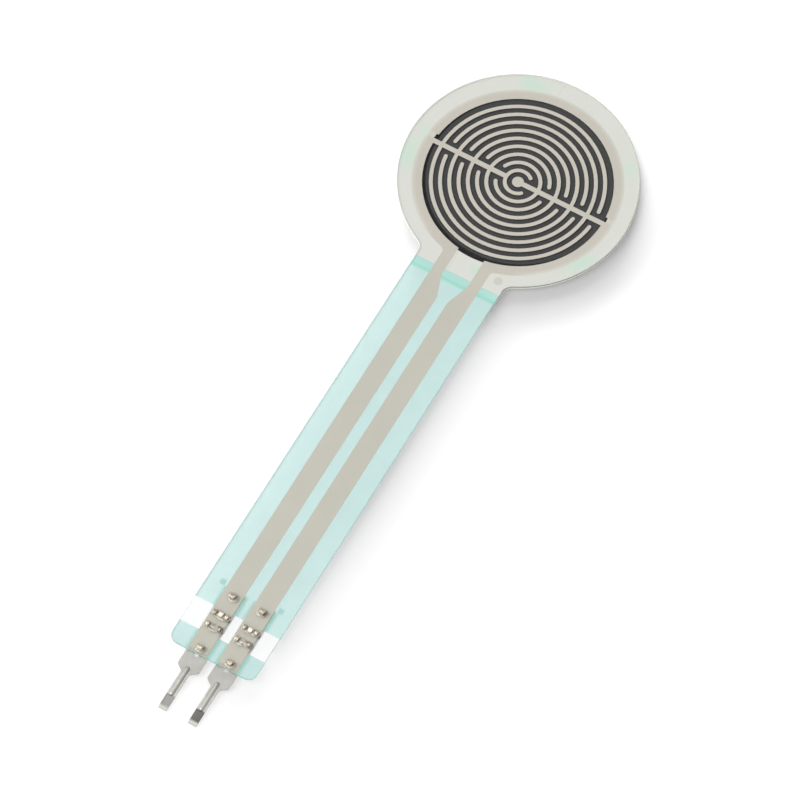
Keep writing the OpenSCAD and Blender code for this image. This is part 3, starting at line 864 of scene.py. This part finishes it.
def crimpLips(name, axisX):
    points, creaseShades, faces = [], [], []
    for fromEnd, halfWidth, share, lean in lipLook["rows"]:
        centre = (axisX, tailEnd + fromEnd * mm - lipLook["curlBack"])
        rise = share * lipLook["rise"]
        addLip(points, creaseShades, faces, centre, halfWidth * mm, rise, lean)
    mesh = bpy.data.meshes.new(name)
    mesh.from_pydata(points, [], faces)
    mesh.attributes.new("creaseShade", "FLOAT", "POINT").data.foreach_set("value", creaseShades)
    mesh.materials.append(lip)
    mesh.shade_smooth()
    lips = addObject(name, mesh)
    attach(lips, "root")


crimpLips("leftCrimpLips", leftX)
crimpLips("rightCrimpLips", rightX)
print("lips of the crimps done")

# Table
tableLook = {
    "size": 3.0, "drop": 0.02 * mm, "colour": (0.325, 0.325, 0.325, 1), "roughness": 0.9,
    "specular": 0.0, "glowColour": (1, 1, 1, 1), "glow": 0.20,
    "grainSize": 0.4 * mm, "cloudSize": 60 * mm, "grain": 0.004, "cloud": 0.004,
}
half = tableLook["size"] / 2
tableMesh = bpy.data.meshes.new("table")
corners = [(-half, -half), (half, -half), (half, half), (-half, half)]
tableMesh.from_pydata([(x, y, -tableLook["drop"]) for x, y in corners], [], [(0, 1, 2, 3)])
table = addObject("table", tableMesh)
white, tree, shader, where = newMaterial("tablePaper")
paper = grained(tree, where["Object"], tableLook["colour"], tableLook)
plug(tree, shader, {
    "Base Color": paper, "Roughness": tableLook["roughness"],
    "Specular IOR Level": tableLook["specular"],
    "Emission Color": tableLook["glowColour"], "Emission Strength": tableLook["glow"],
})
tableMesh.materials.append(white)
print("table done")

# Lamps, all turned to the head: place, width, height, power
lamps = {
    "keySoftbox": ((-0.70, -0.32, 0.92), 0.9, 0.9, 9.2),
    "frontLamp": ((0.20, -0.90, 0.75), 0.15, 0.15, 0.6),
    "lowSoftbox": ((-0.845, 1.04, 0.165), 1.2, 0.19, 160.0),
    "middleSoftbox": ((-0.80, 0.985, 0.46), 1.2, 0.36, 34.0),
    "sideSoftbox": ((-1.33, -0.10, 0.165), 1.0, 0.19, 50.0),
}


def areaLight(name, spot, width, height, power):
    lamp = bpy.data.lights.new(name, "AREA")
    lamp.shape = "RECTANGLE"
    lamp.size = width
    lamp.size_y = height
    lamp.energy = power
    holder = addObject(name, lamp)
    holder.location = spot
    holder.rotation_euler = Vector(spot).to_track_quat("Z", "Y").to_euler()
    holder.visible_camera = False
    return holder


def lightGroup(name, members):
    group = bpy.data.collections.new(name)
    for member in members:
        group.objects.link(member)
    return group


# three long softboxes light the table alone, so the thin films lay a wide soft shadow on it
onTableOnly = ("lowSoftbox", "middleSoftbox", "sideSoftbox")
unshading = ("left_terminal", "right_terminal", "left_electrode", "right_electrode")
films = [piece for name, piece in nodes.items() if name not in unshading]
litTable = lightGroup("litByLowSoftboxes", [table])
shadingFilms = lightGroup("shadedByFilms", films)
for name, settings in lamps.items():
    lamp = areaLight(name, *settings)
    if name in onTableOnly:
        lamp.light_linking.receiver_collection = litTable
        lamp.light_linking.blocker_collection = shadingFilms
print("lamps done")

# Sky, brighter toward the key softbox
skyLook = {
    "toward": (-0.60, -0.35, 0.72), "colour": (1, 1, 1, 1),
    "dark": 0.45, "bright": 0.90, "darkFrom": -0.2, "brightFrom": 0.95,
}
world = bpy.data.worlds.new("studio")
bpy.context.scene.world = world
world.use_nodes = True
sky = world.node_tree
backdrop = sky.nodes.get("Background") or sky.nodes.new("ShaderNodeBackground")
skyPlace = place(sky, "ShaderNodeTexCoord")
skyTurn = place(sky, "ShaderNodeVectorMath", {
    0: skyPlace.outputs["Generated"], 1: skyLook["toward"],
}, operation="DOT_PRODUCT")
plug(sky, backdrop, {
    "Color": skyLook["colour"],
    "Strength": remap(
        sky, skyTurn.outputs["Value"], skyLook["dark"], skyLook["bright"],
        skyLook["darkFrom"], skyLook["brightFrom"],
    ),
})
layersSeenThrough = 24
bpy.context.scene.view_settings.view_transform = "Standard"
bpy.context.scene.cycles.transparent_max_bounces = layersSeenThrough
print("sky done")

# The lens looks at the head from the front right, 63 degrees above the table
view = {
    "place": (0.09257, -0.18100, 0.36124), "right": (0.8689, 0.4950, 0.0),
    "up": (-0.4410, 0.7741, 0.4543), "back": (0.2249, -0.3947, 0.8909),
    "focalLength": 240.70, "sensorWidth": 36,  # both in mm
    "nearest": 0.01, "farthest": 10,
}
lens = bpy.data.cameras.new("camera")
lens.sensor_width = view["sensorWidth"]
lens.lens = view["focalLength"]
lens.clip_start = view["nearest"]
lens.clip_end = view["farthest"]
camera = addObject("camera", lens)
turn = Matrix((view["right"], view["up"], view["back"])).transposed().to_4x4()
camera.matrix_world = Matrix.Translation(view["place"]) @ turn
bpy.context.scene.camera = camera
print("camera done")
